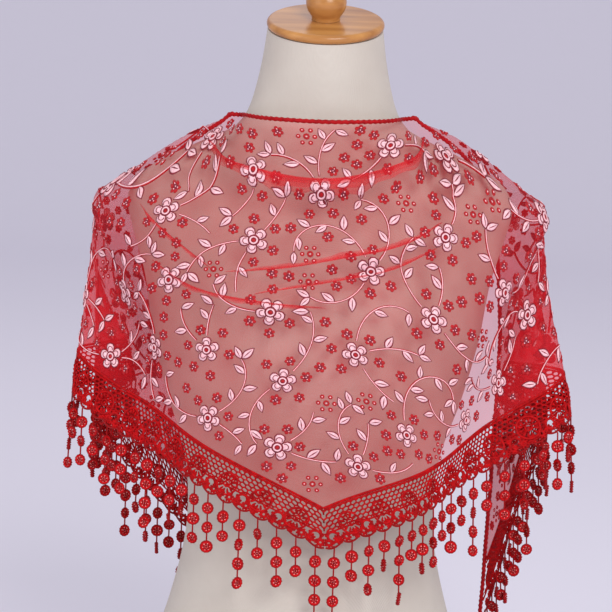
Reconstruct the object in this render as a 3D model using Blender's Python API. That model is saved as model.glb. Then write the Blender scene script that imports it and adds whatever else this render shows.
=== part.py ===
"""Triangular lace shawl worn front-ways on a limbless dress form.

Metres, +Z up, front towards -Y, origin at the middle of the form's flat base. The shawl is
one flat triangle: u runs along its long edge from the middle, v runs down from that edge.
shawl_point(u, v) hangs the triangle on the form, and every cloth piece is built through it.
"""
import math

import bmesh
import bpy
from mathutils import Vector

# Flat cut of the shawl
HALF_EDGE = 0.700  # half of the long edge
CUT_HEIGHT = 0.412  # from the long edge to the point, lace border included
BORDER_WIDTH = 0.035  # lace border, square to its edge
SEAM_GAP = 0.0004

# Walls
NET_WALL = 0.0010
LACE_WALL = 0.0014
HEM_RADIUS = 0.0018
HEM_CORNERS = 4
HEM_CLEARANCE = 0.0006  # room between the roll and the net
HEM_END = 0.690  # the hem stops just short of the shawl's tips
HEM_TIP_COLUMNS = 5  # between the end of the tail's net and the end of the hem
EDGE_STEP = 0.004  # how far in from an edge its direction is read
NORMAL_STEP = 0.002  # how far apart the points lie that give a normal

# Where the cloth is carried
SHOULDER = Vector((0.2075, -0.005, 0.517))  # outermost point on the shoulder
SHOULDER_FLAT = (0.257, 0.063)
NECK_FLAT_U = 0.105  # the long edge leaves the neck here
POINT_SHIFT = 0.014  # the front point hangs off centre by this much

# Front of the shawl: level down the cut, height, drop towards the side, half width, front
FRONT_SECTIONS = [
    # v, z, side_drop, half_x, front_y
    (-0.010, 0.5960, -0.004, 0.060, -0.075),
    (0.000, 0.5870, -0.004, 0.079, -0.079),
    (0.030, 0.5600, -0.007, 0.1415, -0.090),
    (0.063, 0.5280, 0.010, 0.2075, -0.104),
    (0.130, 0.4660, 0.014, 0.2120, -0.115),
    (0.200, 0.4010, 0.016, 0.2140, -0.119),
    (0.270, 0.3360, 0.016, 0.2180, -0.117),
    (0.340, 0.2710, 0.014, 0.2220, -0.113),
    (0.430, 0.1880, 0.010, 0.2260, -0.109),
]
SIDE_Y = -0.005
SIDE_U_LEAST = 0.080  # the front's half width in the cut, where it is narrowest
SHARE_MOST = 1.2  # how far past its side a level of the front still runs

# Side of the shawl: folds radiate from the shoulder. Angle in the cut from straight down,
# and where a metre of cloth in that direction reaches: outwards, backwards, upwards.
RIGHT_FOLDS = [
    # angle, out, back, up
    (-114.0, -0.781, 0.012, 0.450),
    (-80.0, -0.780, -0.250, -0.050),
    (-50.0, -0.620, -0.420, -0.600),
    (-14.0, -0.220, -0.300, -0.924),
    (0.0, 0.030, -0.265, -0.959),
    (10.0, 0.155, -0.225, -0.957),
    (16.0, 0.175, -0.160, -0.967),
    (22.0, 0.130, -0.100, -0.982),
    (34.0, -0.120, -0.045, -0.987),
    (41.0, -0.195, 0.000, -0.976),
    (48.0, -0.190, 0.065, -0.975),
    (60.0, 0.010, 0.105, -0.989),
    (67.0, 0.070, 0.140, -0.982),
    (74.0, 0.058, 0.198, -0.974),
    (86.0, -0.015, 0.225, -0.972),
    (98.0, -0.075, 0.262, -0.960),
    (118.0, -0.220, 0.420, -0.872),
    (145.0, -0.480, 0.620, -0.560),
    (180.0, -0.600, 0.700, -0.150),
    (215.0, -0.760, 0.360, 0.240),
    (246.0, -0.781, 0.012, 0.450),
]
LEFT_FOLDS = [
    # angle, out, back, up
    (-114.0, -0.781, 0.012, 0.450),
    (-80.0, -0.780, -0.250, -0.050),
    (-50.0, -0.620, -0.420, -0.600),
    (-14.0, -0.210, -0.290, -0.929),
    (0.0, -0.020, -0.245, -0.964),
    (10.0, 0.080, -0.205, -0.971),
    (16.0, 0.095, -0.150, -0.979),
    (22.0, 0.060, -0.095, -0.989),
    (34.0, -0.140, -0.045, -0.984),
    (41.0, -0.210, 0.000, -0.973),
    (48.0, -0.205, 0.065, -0.972),
    (60.0, -0.050, 0.102, -0.988),
    (67.0, 0.000, 0.138, -0.985),
    (74.0, -0.018, 0.196, -0.975),
    (86.0, -0.150, 0.238, -0.954),
    (98.0, -0.305, 0.300, -0.899),
    (118.0, -0.380, 0.430, -0.815),
    (145.0, -0.480, 0.620, -0.560),
    (180.0, -0.600, 0.700, -0.150),
    (215.0, -0.760, 0.360, 0.240),
    (246.0, -0.781, 0.012, 0.450),
]
# The same directions with the folds left out, for the cloth on top of the shoulder
SMOOTH_SIDE = [
    # angle, out, back, up
    (-114.0, -0.781, 0.012, 0.450),
    (-50.0, -0.560, -0.480, -0.560),
    (0.0, 0.020, -0.260, -0.930),
    (50.0, 0.060, 0.080, -0.960),
    (98.0, -0.100, 0.300, -0.920),
    (140.0, -0.420, 0.560, -0.600),
    (180.0, -0.600, 0.700, -0.150),
    (215.0, -0.760, 0.360, 0.240),
    (246.0, -0.781, 0.012, 0.450),
]
FOLD_START = 0.035  # distance from the shoulder where side folds begin
FOLD_FULL = 0.150  # and where they have their whole depth
RIDGE_RISES = {1: 0.011, -1: 0.007}  # how far the shoulder line bulges over a straight one
RIDGE_REACH = 0.195  # distance from the shoulder over which it does
RIDGE_FROM = -114.0  # angle of the shoulder line in the cut
RIDGE_WIDTH = 70.0
SAGS = {1: (0.022, 0.0, 0.170), -1: (0.012, 0.120, 0.210)}  # depth, and x where it starts and is whole
SAG_DEPTHS = (0.040, 0.240)  # distances down the cut where the sag starts and is whole
FRONT_TO_SIDE = (-52.0, -12.0)  # angles between which the front turns into the side
RIDGE_ANGLES = (-114.0, -85.0)  # and those just in front of the shoulder's ridge
MIDDLE_FADE = (0.0, 0.170)  # distances from the middle over which the side takes over below
NECK_FADE = (0.070, 0.116)  # and beside the neck

# Creases across the front: depth, half width, then the line in the cut
CREASE_REACHES = 3.0  # a crease is left out beyond this many half widths
CREASE_ENDS = (0.04, 0.96)
CREASES = [
    # depth, reach, line
    (0.0080, 0.013, [(-0.125, 0.028), (-0.060, 0.047), (0.000, 0.055), (0.060, 0.043), (0.115, 0.020)]),
    (-0.0070, 0.010, [(-0.120, 0.050), (-0.060, 0.069), (0.000, 0.075), (0.065, 0.062), (0.125, 0.036)]),
    (0.0060, 0.012, [(-0.155, 0.128), (-0.110, 0.156), (-0.050, 0.170), (0.005, 0.175)]),
    (0.0060, 0.012, [(0.110, 0.085), (0.075, 0.108), (0.030, 0.124), (-0.030, 0.138), (-0.085, 0.142)]),
    (-0.0050, 0.012, [(0.105, 0.108), (0.065, 0.132), (0.010, 0.150), (-0.060, 0.164)]),
    (0.0045, 0.014, [(-0.170, 0.075), (-0.130, 0.110), (-0.095, 0.140)]),
    (0.0045, 0.016, [(0.150, 0.120), (0.120, 0.170), (0.070, 0.215)]),
]

# Lace border: stations along a side and rows across it, with the holes
DROPS_PER_SIDE = 43
HOLE_SHARE = 0.44  # of the pitch that a hole takes
LACE_ROWS = [0.00, 0.22, 0.39, 0.66, 0.87, 1.00]
HOLE_ROWS = (1, 3)
LACE_START_MARGIN = 0.006  # shares of a side kept whole at the ends of a lace piece
LACE_END_MARGIN = 0.012
LACE_TIP_TRIM = 0.006

# Fringe drops
FOOTING_WIDTH = 0.0032
FOOTING_GAP = 0.0010
CORD_WIDTH = 0.0016
DISC_WIDTH = 0.0120
DISC_STEP = 0.0175
DROP_HEAD = 0.0040
DISC_ROOM = 0.36  # share of the room to the next drop that half a disc may take
DROP_LEAN = 0.05  # drops hang this much clear of the cloth behind them
EDGE_ON_BELOW = 0.72  # drops turn edge-on where the border runs steeper than this
DISCS_BY_TURN = (3, 2, 3, 2, 4, 2, 3)
DISCS_AT_POINT = 4
DISC_MIDDLE = 0.48  # share of a step at which a disc is widest
DISC_THICK = 1.2  # of the cord's width
DROP_MARGIN = 0.004  # along the edge, kept free of drops at the end of a stretch
FOOTING_INSET = 0.001  # shares of a side by which a footing stops short
FOOTING_TIP_TRIM = 0.008
RIM_INSIDE = 0.9  # share across the border from which the rim's direction is read

# Stretches of the cut: from u, to u, columns
STRETCHES = {
    "front": (0.000, 0.190, 13),
    "side": (0.190, 0.360, 16),
    "tail": (0.360, 0.612, 18),
}
NET_ROWS = 12
TAIL_CROWDING = 1.35  # columns of a tail lie closer together near the shoulder

# Dress form: height, half width, front reach, back reach, middle in y
FORM_SECTIONS = [
    # z, half_x, front, back, middle_y
    (0.000, 0.154, 0.098, 0.098, 0.000),
    (0.006, 0.158, 0.102, 0.102, 0.000),
    (0.060, 0.154, 0.104, 0.106, 0.000),
    (0.130, 0.132, 0.094, 0.098, 0.000),
    (0.185, 0.119, 0.084, 0.082, 0.000),
    (0.225, 0.116, 0.080, 0.074, 0.000),
    (0.275, 0.121, 0.086, 0.076, 0.000),
    (0.330, 0.139, 0.098, 0.082, 0.000),
    (0.385, 0.153, 0.105, 0.086, 0.000),
    (0.440, 0.162, 0.096, 0.084, 0.000),
    (0.484, 0.175, 0.082, 0.068, 0.002),
    (0.512, 0.180, 0.074, 0.055, 0.002),
    (0.5330, 0.169, 0.067, 0.047, 0.003),
    (0.5525, 0.138, 0.062, 0.043, 0.003),
    (0.5670, 0.108, 0.060, 0.042, 0.003),
    (0.5772, 0.085, 0.058, 0.044, 0.002),
    (0.5890, 0.0735, 0.056, 0.046, 0.000),
    (0.606, 0.0660, 0.054, 0.048, -0.003),
    (0.642, 0.0580, 0.052, 0.049, -0.007),
    (0.676, 0.0535, 0.050, 0.049, -0.011),
]
FORM_SIDES = 28
NECK_TILT = math.radians(17.0)  # the neck's top slopes forward
TILT_FROM = 0.580
TURNED_SIDES = 24
CAP_RADIUS = 0.0545
CAP_THICK = 0.0085
KNOB_RADIUS = 0.0185
KNOB_HEIGHT = 0.030

SEAT_GAP = 0.0003  # between touching turnings
RIM_ROUND = 0.3  # share of the cap's thickness that its edge is rounded by
SHARP_ANGLE = math.radians(50)

COLOURS = {
    "net": ((0.62, 0.03, 0.04, 1.0), 0.6),
    "lace": ((0.70, 0.01, 0.015, 1.0), 0.7),
    "fringe": ((0.60, 0.01, 0.012, 1.0), 0.6),
    "linen": ((0.60, 0.55, 0.48, 1.0), 0.9),
    "wood": ((0.55, 0.28, 0.10, 1.0), 0.35),
}


def smooth_step(low, high, value):
    """0 below low, 1 above high, and an even ease between them."""
    share = min(max((value - low) / (high - low), 0.0), 1.0)
    return share * share * (3.0 - 2.0 * share)


def read_table(rows, key):
    """The columns of a table at key, on a smooth curve through its rows."""
    key = min(max(key, rows[0][0]), rows[-1][0])
    at = 0
    while at < len(rows) - 2 and key > rows[at + 1][0]:
        at += 1
    low, high = rows[at], rows[at + 1]
    before = rows[max(at - 1, 0)]
    after = rows[min(at + 2, len(rows) - 1)]
    span = high[0] - low[0]
    t = (key - low[0]) / span
    values = []
    for col in range(1, len(low)):
        start = (high[col] - before[col]) / (high[0] - before[0]) * span
        end = (after[col] - low[col]) / (after[0] - low[0]) * span
        h00 = 2 * t**3 - 3 * t**2 + 1
        h10 = t**3 - 2 * t**2 + t
        h01 = -2 * t**3 + 3 * t**2
        h11 = t**3 - t**2
        values.append(h00 * low[col] + h10 * start + h01 * high[col] + h11 * end)
    return values


def ellipse_angle(share, half_x, depth, steps=24):
    """The angle at which an arc from the front has this share of a quarter ellipse."""
    lengths = [0.0]
    quarter = math.pi / 2
    for i in range(steps):
        angle = (i + 0.5) * quarter / steps
        step = math.hypot(half_x * math.cos(angle), depth * math.sin(angle))
        lengths.append(lengths[-1] + step)
    want = share * lengths[-1]
    for i in range(steps):
        if lengths[i + 1] >= want or i == steps - 1:
            part = (want - lengths[i]) / (lengths[i + 1] - lengths[i])
            return (i + part) * quarter / steps
    return quarter


def front_point(u, v):
    """Cloth in front of the form: each level is part of an ellipse seen from above."""
    z, side_drop, half_x, front_y = read_table(FRONT_SECTIONS, v)
    ridge = NECK_FLAT_U + (SHOULDER_FLAT[0] - NECK_FLAT_U) * v / SHOULDER_FLAT[1]
    side_u = min(max(ridge, SIDE_U_LEAST), SHOULDER_FLAT[0])
    share = min(abs(u) / side_u, SHARE_MOST)
    depth = SIDE_Y - front_y
    angle = ellipse_angle(share, half_x, depth)
    x = half_x * math.sin(angle) * (1.0 if u >= 0 else -1.0)
    y = SIDE_Y - depth * math.cos(angle)
    shift = POINT_SHIFT * (max(v, 0.0) / CUT_HEIGHT) ** 2
    return Vector((x + shift, y, z - side_drop * math.sin(angle) ** 2))


def side_point(u, v):
    """Cloth that hangs from the shoulder, in folds that radiate from it."""
    du = abs(u) - SHOULDER_FLAT[0]
    dv = v - SHOULDER_FLAT[1]
    away = math.hypot(du, dv)
    angle = math.degrees(math.atan2(du, dv))
    if angle < RIDGE_ANGLES[0]:
        angle += 360.0
    folded = Vector(read_table(RIGHT_FOLDS if u >= 0 else LEFT_FOLDS, angle))
    plain = Vector(read_table(SMOOTH_SIDE, angle))
    share = smooth_step(FOLD_START, FOLD_FULL, away)
    reach = plain.lerp(folded, share) * away
    place = SHOULDER + reach
    from_ridge = min(angle - RIDGE_FROM, RIDGE_FROM + 360.0 - angle)
    rise = RIDGE_RISES[1 if u >= 0 else -1] * (1.0 - smooth_step(0.0, RIDGE_WIDTH, from_ridge))
    place.z += rise * math.sin(math.pi * min(away / RIDGE_REACH, 1.0)) ** 2
    if u < 0:
        place.x = -place.x
    return place, angle


def draped_point(u, v):
    """The hanging cloth without its sag and its small creases."""
    front = front_point(u, v)
    side, angle = side_point(u, v)
    if angle > FRONT_TO_SIDE[1]:
        return side
    by_side = smooth_step(FRONT_TO_SIDE[0], FRONT_TO_SIDE[1], angle)
    by_ridge = 1.0 - smooth_step(RIDGE_ANGLES[0], RIDGE_ANGLES[1], angle)
    by_side *= smooth_step(*MIDDLE_FADE, abs(u))
    by_ridge *= smooth_step(*NECK_FADE, abs(u))
    return front.lerp(side, max(by_side, by_ridge))


def base_point(u, v):
    """The hanging cloth without its small creases, each side with its own sag."""
    place = draped_point(u, v)
    for side, (sag, start, whole) in SAGS.items():
        place.z -= sag * smooth_step(start, whole, side * place.x) * smooth_step(*SAG_DEPTHS, v)
    return place


def crease_height(u, v):
    """How far the creases push the cloth out at a point of the cut."""
    height = 0.0
    for depth, reach, line in CREASES:
        nearest = 1.0
        along = 0.0
        for i in range(len(line) - 1):
            (u0, v0), (u1, v1) = line[i], line[i + 1]
            run = (u1 - u0) ** 2 + (v1 - v0) ** 2
            t = min(max(((u - u0) * (u1 - u0) + (v - v0) * (v1 - v0)) / run, 0.0), 1.0)
            away = math.hypot(u - u0 - t * (u1 - u0), v - v0 - t * (v1 - v0))
            if away < nearest:
                nearest = away
                along = (i + t) / (len(line) - 1)
        if nearest < CREASE_REACHES * reach:
            ends = math.sin(math.pi * min(max(along, CREASE_ENDS[0]), CREASE_ENDS[1]))
            height += depth * ends * math.exp(-((nearest / reach) ** 2))
    return height


def shawl_point(u, v):
    """A point of the cut on the hanging cloth, and the outward normal there."""
    across = base_point(u + NORMAL_STEP, v) - base_point(u - NORMAL_STEP, v)
    down = base_point(u, v + NORMAL_STEP) - base_point(u, v - NORMAL_STEP)
    normal = down.cross(across)
    if normal.length < 1e-12:
        normal = Vector((0.0, -1.0, 0.0))
    normal.normalize()
    return base_point(u, v) + normal * crease_height(u, v), normal


def net_depth(u):
    """Length of the net from the long edge down to the lace border."""
    drop = BORDER_WIDTH * math.hypot(1.0, CUT_HEIGHT / HALF_EDGE)
    return CUT_HEIGHT * (1.0 - abs(u) / HALF_EDGE) - drop


def net_tip():
    """Where the net runs out along the long edge."""
    return HALF_EDGE * net_depth(0.0) / CUT_HEIGHT


def border_flat(along, across, side):
    """A point of the lace border in the cut: along from the point of the shawl to its tip,
    across from the net to the outer edge."""
    inner = (net_tip() * along, net_depth(0.0) * (1.0 - along))
    outer = (HALF_EDGE * along, CUT_HEIGHT * (1.0 - along))
    u = inner[0] + (outer[0] - inner[0]) * across
    v = inner[1] + (outer[1] - inner[1]) * across
    return side * u, v


def material(name):
    """A plain finish for one kind of piece."""
    found = bpy.data.materials.get(name)
    if found:
        return found
    colour, roughness = COLOURS[name]
    made = bpy.data.materials.new(name)
    made.use_nodes = True
    shader = made.node_tree.nodes["Principled BSDF"]
    shader.inputs["Base Color"].default_value = colour
    shader.inputs["Roughness"].default_value = roughness
    return made


def add_object(name, mesh_data, finish, collection):
    """One named object from a bmesh, shaded smooth with sharp edges kept."""
    bmesh.ops.recalc_face_normals(mesh_data, faces=mesh_data.faces)
    if mesh_data.calc_volume(signed=True) < 0:
        bmesh.ops.reverse_faces(mesh_data, faces=mesh_data.faces)
    mesh = bpy.data.meshes.new(name)
    mesh_data.to_mesh(mesh)
    mesh_data.free()
    mesh.materials.append(material(finish))
    mesh.shade_smooth()
    mesh.set_sharp_from_angle(angle=SHARP_ANGLE)
    made = bpy.data.objects.new(name, mesh)
    collection.objects.link(made)
    return made


def wall_from_grid(points, thickness, keep):
    """A closed wall round a grid of (place, normal), with the cells that keep refuses cut out."""
    mesh_data = bmesh.new()
    outer, inner = [], []
    for line in points:
        outer.append([mesh_data.verts.new(p + n * (thickness / 2)) for p, n in line])
        inner.append([mesh_data.verts.new(p - n * (thickness / 2)) for p, n in line])
    columns = len(points) - 1
    rows = len(points[0]) - 1

    def solid(col, row):
        return 0 <= col < columns and 0 <= row < rows and keep(col, row)

    for col in range(columns):
        for row in range(rows):
            if not solid(col, row):
                continue
            corners = [(col, row), (col + 1, row), (col + 1, row + 1), (col, row + 1)]
            mesh_data.faces.new([outer[c][r] for c, r in corners])
            mesh_data.faces.new([inner[c][r] for c, r in reversed(corners)])
            sides = [(col, row - 1), (col + 1, row), (col, row + 1), (col - 1, row)]
            for i, (next_col, next_row) in enumerate(sides):
                if solid(next_col, next_row):
                    continue
                (c0, r0), (c1, r1) = corners[i], corners[(i + 1) % 4]
                mesh_data.faces.new([outer[c1][r1], outer[c0][r0], inner[c0][r0], inner[c1][r1]])
    loose = [v for v in mesh_data.verts if not v.link_faces]
    bmesh.ops.delete(mesh_data, geom=loose, context="VERTS")
    bmesh.ops.triangulate(mesh_data, faces=mesh_data.faces)
    return mesh_data


def stations(start, end, count, crowding=1.0):
    """Values from start to end, crowded towards the start where crowding is over 1."""
    return [start + (end - start) * (i / count) ** crowding for i in range(count + 1)]


def build_net(collection):
    """The embroidered net, one wall for each stretch that shows."""
    _, front_end, front_columns = STRETCHES["front"]
    plans = [("shawl_net_front", -front_end, front_end, 2 * front_columns)]
    for side, word in ((1, "right"), (-1, "left")):
        for stretch in ("side", "tail"):
            start, end, columns = STRETCHES[stretch]
            plans.append((f"shawl_net_{word}_{stretch}", side * start, side * end, columns))
    for name, start, end, columns in plans:
        inset = math.copysign(SEAM_GAP / 2, end - start)
        points = []
        crowding = TAIL_CROWDING if name.endswith("tail") else 1.0
        for u in stations(start + inset, end - inset, columns, crowding):
            depth = net_depth(u) - SEAM_GAP
            points.append([shawl_point(u, depth * row / NET_ROWS) for row in range(NET_ROWS + 1)])
        add_object(name, wall_from_grid(points, NET_WALL, lambda c, r: True), "net", collection)


def border_shares(stretch):
    """The part of the border, as shares of its length, that lies under a stretch of net."""
    start, end, _ = STRETCHES[stretch]
    if stretch == "tail":
        end = HALF_EDGE
    return start / HALF_EDGE, end / HALF_EDGE


def drop_shares(stretch):
    """Shares of the border's length at which drops hang under a stretch."""
    low, high = border_shares(stretch)
    every = [(i + 0.5) / DROPS_PER_SIDE for i in range(DROPS_PER_SIDE)]
    margin = DROP_MARGIN / HALF_EDGE
    return [(i, share) for i, share in enumerate(every) if low + margin < share < high - margin]


def build_lace(collection):
    """Lace border with its rows of holes, one wall for each stretch on each side."""
    pitch = 1.0 / DROPS_PER_SIDE
    for side, word in ((1, "right"), (-1, "left")):
        for stretch in STRETCHES:
            low, high = border_shares(stretch)
            gap = SEAM_GAP / HALF_EDGE
            cuts = [(low + gap, False)]
            for _, share in drop_shares(stretch):
                start = share - pitch * HOLE_SHARE / 2
                end = share + pitch * HOLE_SHARE / 2
                if start > low + LACE_START_MARGIN and end < high - LACE_END_MARGIN:
                    cuts.append((start, True))
                    cuts.append((end, False))
            cuts.append((high - (LACE_TIP_TRIM if stretch == "tail" else gap), False))
            points = []
            for share, _ in cuts:
                line = []
                for across in LACE_ROWS:
                    u, v = border_flat(share, across, side)
                    line.append(shawl_point(u, v + SEAM_GAP / 2))
                points.append(line)
            open_columns = [i for i, cut in enumerate(cuts) if cut[1]]

            def keep(col, row, open_columns=open_columns):
                return not (col in open_columns and row in HOLE_ROWS)

            name = f"lace_border_{word}_{stretch}"
            add_object(name, wall_from_grid(points, LACE_WALL, keep), "lace", collection)


def build_hem(collection):
    """Rolled hem along the long edge, just clear of the net."""
    _, front_end, front_columns = STRETCHES["front"]
    spans = [("hem_roll_front", stations(-front_end, front_end, 2 * front_columns))]
    for side, word in ((1, "right"), (-1, "left")):
        line = []
        for stretch in ("side", "tail"):
            start, end, columns = STRETCHES[stretch]
            crowding = TAIL_CROWDING if stretch == "tail" else 1.0
            line += stations(start, end, columns, crowding)[:-1]
        line += stations(STRETCHES["tail"][1], HEM_END, HEM_TIP_COLUMNS)
        line[0] += SEAM_GAP
        spans.append((f"hem_roll_{word}", [side * u for u in line]))
    corners = HEM_CORNERS
    for name, line in spans:
        mesh_data = bmesh.new()
        rings = []
        for u in line:
            place, normal = shawl_point(u, 0.0)
            below, _ = shawl_point(u, EDGE_STEP)
            up = (place - below).normalized()
            centre = place + up * (HEM_RADIUS + HEM_CLEARANCE)
            ring = []
            for i in range(corners):
                angle = 2 * math.pi * i / corners
                reach = normal * math.cos(angle) + up * math.sin(angle)
                ring.append(mesh_data.verts.new(centre + reach * HEM_RADIUS))
            rings.append(ring)
        for one, two in zip(rings, rings[1:]):
            for i in range(corners):
                j = (i + 1) % corners
                mesh_data.faces.new([one[i], one[j], two[j], two[i]])
        mesh_data.faces.new(rings[0])
        mesh_data.faces.new(rings[-1])
        bmesh.ops.triangulate(mesh_data, faces=mesh_data.faces)
        add_object(name, mesh_data, "lace", collection)


def discs_on_drop(index):
    """How many discs hang on a drop, counted from the point of the shawl."""
    return DISCS_AT_POINT if index == 0 else DISCS_BY_TURN[index % len(DISCS_BY_TURN)]


def drop_rings(discs):
    """Distance down the drop, half width and half thickness of each ring of a drop."""
    rings = [(DROP_HEAD, CORD_WIDTH / 2, CORD_WIDTH / 2)]
    at = DROP_HEAD
    for _ in range(discs):
        rings.append((at + DISC_STEP * DISC_MIDDLE, DISC_WIDTH / 2, CORD_WIDTH * DISC_THICK / 2))
        rings.append((at + DISC_STEP, CORD_WIDTH / 2, CORD_WIDTH / 2))
        at += DISC_STEP
    return rings


def footing(mesh_data, shares, side):
    """Narrow wall along the border's outer edge, left open below wherever a drop grows."""
    rings = []
    for share in shares:
        place, normal = shawl_point(*border_flat(share, 1.0, side))
        inner, _ = shawl_point(*border_flat(share, RIM_INSIDE, side))
        down = (place - inner).normalized()
        top = place + down * FOOTING_GAP
        foot = top + down * FOOTING_WIDTH
        half = normal * (LACE_WALL / 2)
        corners = (top + half, top - half, foot - half, foot + half)
        rings.append([mesh_data.verts.new(p) for p in corners])
    for at, (one, two) in enumerate(zip(rings, rings[1:])):
        under_drop = at % 2 == 1
        for i in range(4):
            if i == 2 and under_drop:
                continue
            j = (i + 1) % 4
            mesh_data.faces.new([one[i], one[j], two[j], two[i]])
    mesh_data.faces.new(rings[0])
    mesh_data.faces.new(rings[-1])
    return rings


def hang_drop(mesh_data, one, two, discs, room):
    """One drop of discs, grown from the foot of the footing between two of its rings."""
    last = [one[2], one[3], two[3], two[2]]
    middle = sum((v.co for v in last), Vector()) / 4
    edge = ((two[2].co + two[3].co) - (one[2].co + one[3].co)).normalized()
    level = Vector((edge.x, edge.y, 0.0))
    edge_on = level.length < EDGE_ON_BELOW
    along = level.normalized()
    out = along.cross(Vector((0.0, 0.0, 1.0)))
    if out.dot(one[3].co - one[2].co) < 0:
        out.negate()
    for down, half_wide, half_thick in drop_rings(discs):
        centre = middle - Vector((0.0, 0.0, down)) + out * (down * DROP_LEAN)
        if edge_on:
            half_wide, half_thick = half_thick, half_wide
        else:
            half_wide = min(half_wide, max(room * DISC_ROOM, CORD_WIDTH / 2))
        ring = []
        for way, reach in ((-1, -1), (-1, 1), (1, 1), (1, -1)):
            corner = centre + along * (way * half_wide) + out * (reach * half_thick)
            ring.append(mesh_data.verts.new(corner))
        for i in range(4):
            j = (i + 1) % 4
            mesh_data.faces.new([last[i], last[j], ring[j], ring[i]])
        last = ring
    mesh_data.faces.new(last)


def build_fringe(collection):
    """Disc drops, fused at their roots to a narrow footing along the border's outer edge."""
    root_half = CORD_WIDTH / 2 / (HALF_EDGE * math.hypot(1.0, CUT_HEIGHT / HALF_EDGE))
    for side, word in ((1, "right"), (-1, "left")):
        for stretch in STRETCHES:
            low, high = border_shares(stretch)
            drops = drop_shares(stretch)
            shares = [low + FOOTING_INSET]
            for _, share in drops:
                shares += [share - root_half, share + root_half]
            shares.append(high - (FOOTING_TIP_TRIM if stretch == "tail" else FOOTING_INSET))
            mesh_data = bmesh.new()
            rings = footing(mesh_data, shares, side)
            pairs = [(rings[2 * n + 1], rings[2 * n + 2]) for n in range(len(drops))]
            roots = [(one[2].co + two[3].co) / 2 for one, two in pairs]
            for number, (index, _) in enumerate(drops):
                others = roots[:number] + roots[number + 1:]
                room = min((roots[number] - other).xy.length for other in others)
                hang_drop(mesh_data, *pairs[number], discs_on_drop(index), room)
            bmesh.ops.triangulate(mesh_data, faces=mesh_data.faces)
            add_object(f"fringe_{word}_{stretch}", mesh_data, "fringe", collection)


def neck_top(place):
    """Tilts a point of the neck forward, more the higher it is."""
    share = smooth_step(TILT_FROM, FORM_SECTIONS[-1][0], place.z)
    return Vector((place.x, place.y, place.z + place.y * math.tan(NECK_TILT) * share))


def build_form(collection):
    """Linen body of the form, lofted through its sections, closed at base and neck."""
    mesh_data = bmesh.new()
    rings = []
    for z, half_x, front, back, middle in FORM_SECTIONS:
        ring = []
        for i in range(FORM_SIDES):
            angle = 2 * math.pi * i / FORM_SIDES
            depth = front if math.sin(angle) < 0 else back
            place = Vector((half_x * math.cos(angle), middle + depth * math.sin(angle), z))
            ring.append(mesh_data.verts.new(neck_top(place)))
        rings.append(ring)
    for one, two in zip(rings, rings[1:]):
        for i in range(FORM_SIDES):
            j = (i + 1) % FORM_SIDES
            mesh_data.faces.new([one[i], one[j], two[j], two[i]])
    mesh_data.faces.new(rings[0])
    mesh_data.faces.new(rings[-1])
    add_object("form_body", mesh_data, "linen", collection)


def turned(name, profile, collection):
    """A wooden turning from (radius, height) pairs, tilted like the neck's top."""
    top_z, _, _, _, middle = FORM_SECTIONS[-1]
    seat = Vector((0.0, middle, top_z + middle * math.tan(NECK_TILT)))
    axis = Vector((0.0, -math.sin(NECK_TILT), math.cos(NECK_TILT)))
    depth_axis = Vector((0.0, math.cos(NECK_TILT), math.sin(NECK_TILT)))
    mesh_data = bmesh.new()
    rings = []
    sides = TURNED_SIDES
    for radius, height in profile:
        ring = []
        for i in range(sides):
            angle = 2 * math.pi * i / sides
            reach = Vector((math.cos(angle), 0, 0)) + depth_axis * math.sin(angle)
            ring.append(mesh_data.verts.new(seat + axis * height + reach * radius))
        rings.append(ring)
    for one, two in zip(rings, rings[1:]):
        for i in range(sides):
            j = (i + 1) % sides
            mesh_data.faces.new([one[i], one[j], two[j], two[i]])
    mesh_data.faces.new(rings[0])
    mesh_data.faces.new(rings[-1])
    add_object(name, mesh_data, "wood", collection)


def build_cap(collection):
    """Wooden cap on the neck, and the knob on the cap."""
    low = SEAT_GAP
    high = low + CAP_THICK
    round_edge = CAP_THICK * RIM_ROUND
    turned("form_neck_cap", [
        (CAP_RADIUS - round_edge, low),
        (CAP_RADIUS, low + round_edge),
        (CAP_RADIUS, high - round_edge),
        (CAP_RADIUS - round_edge, high),
    ], collection)
    foot = high + SEAT_GAP
    turned("form_cap_knob", [
        (KNOB_RADIUS * 0.72, foot),
        (KNOB_RADIUS * 0.78, foot + KNOB_HEIGHT * 0.15),
        (KNOB_RADIUS, foot + KNOB_HEIGHT * 0.42),
        (KNOB_RADIUS, foot + KNOB_HEIGHT * 0.68),
        (KNOB_RADIUS * 0.78, foot + KNOB_HEIGHT * 0.92),
        (KNOB_RADIUS * 0.35, foot + KNOB_HEIGHT),
    ], collection)


def main():
    """Clears the scene and builds every piece in one collection."""
    for old in list(bpy.data.objects):
        bpy.data.objects.remove(old, do_unlink=True)
    collection = bpy.data.collections.new("lace_shawl")
    bpy.context.scene.collection.children.link(collection)
    build_form(collection)
    build_cap(collection)
    build_net(collection)
    build_hem(collection)
    build_lace(collection)
    build_fringe(collection)


main()
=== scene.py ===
"""Looks of the triangular lace shawl on its dress form.

The shawl is modelled in its flat cut: u along the long edge from the middle, v down from that
edge, both in metres. A map of the hanging cloth, worked out from the same sizes as the frame's
solids, then places every net, stitch, cord and rosette in space.
"""
import math
import random

import bpy
import numpy as np
from mathutils import Matrix, Vector


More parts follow.
